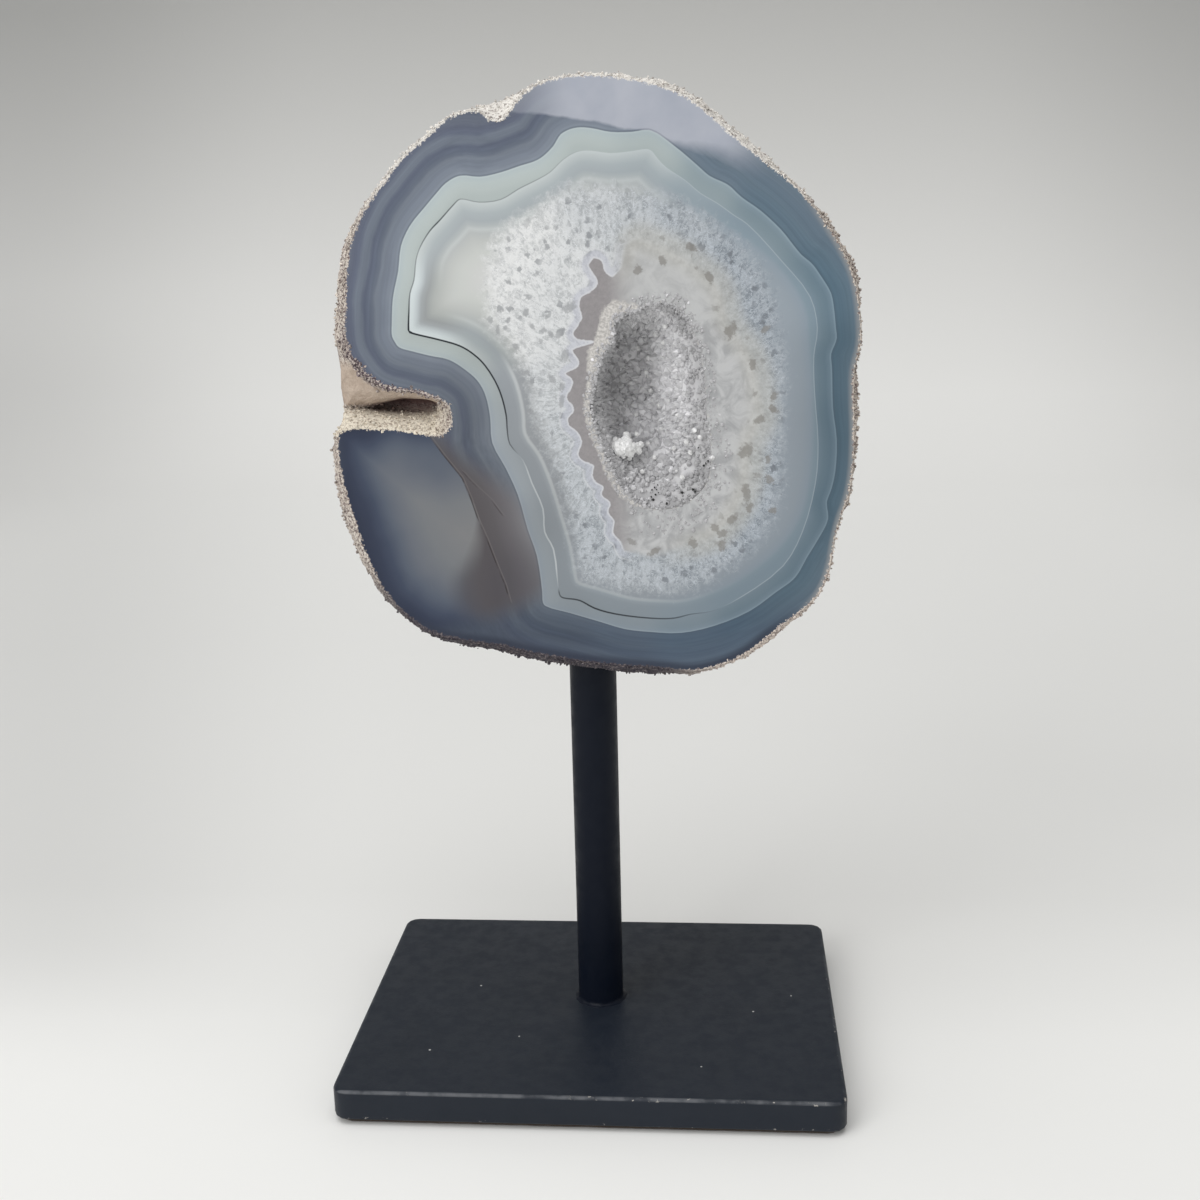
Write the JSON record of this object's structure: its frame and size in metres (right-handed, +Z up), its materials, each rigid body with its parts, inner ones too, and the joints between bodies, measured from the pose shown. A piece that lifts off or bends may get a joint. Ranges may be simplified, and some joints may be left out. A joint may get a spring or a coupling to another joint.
{
  "type": "agate geode on stand",
  "caption": "Half agate nodule with a polished banded face and a crystal-lined hollow, held upright on a round rod and a flat rectangular iron base.",
  "frame": {"origin": "on the middle of the pad's underside, where the stand rests", "axes": "+Z up; the polished face of the stone looks along -Y; +X is to the right of someone who faces it"},
  "size_m": [0.1044, 0.076, 0.2001],
  "materials": {
    "pad_felt": "matte felt, dark brown",
    "stand_paint": "satin black paint with light wear on its edges",
    "agate": "polished banded face in grey blue and pale grey, rough cream and brown rind",
    "quartz": "sparkling clear to milky crystals"
  },
  "bodies": {
    "root": {"felt_pad": "pad_felt", "base_plate": "stand_paint", "post": "stand_paint", "agate_stone": "agate", "quartz_druse": "quartz"}
  },
  "joints": []
}
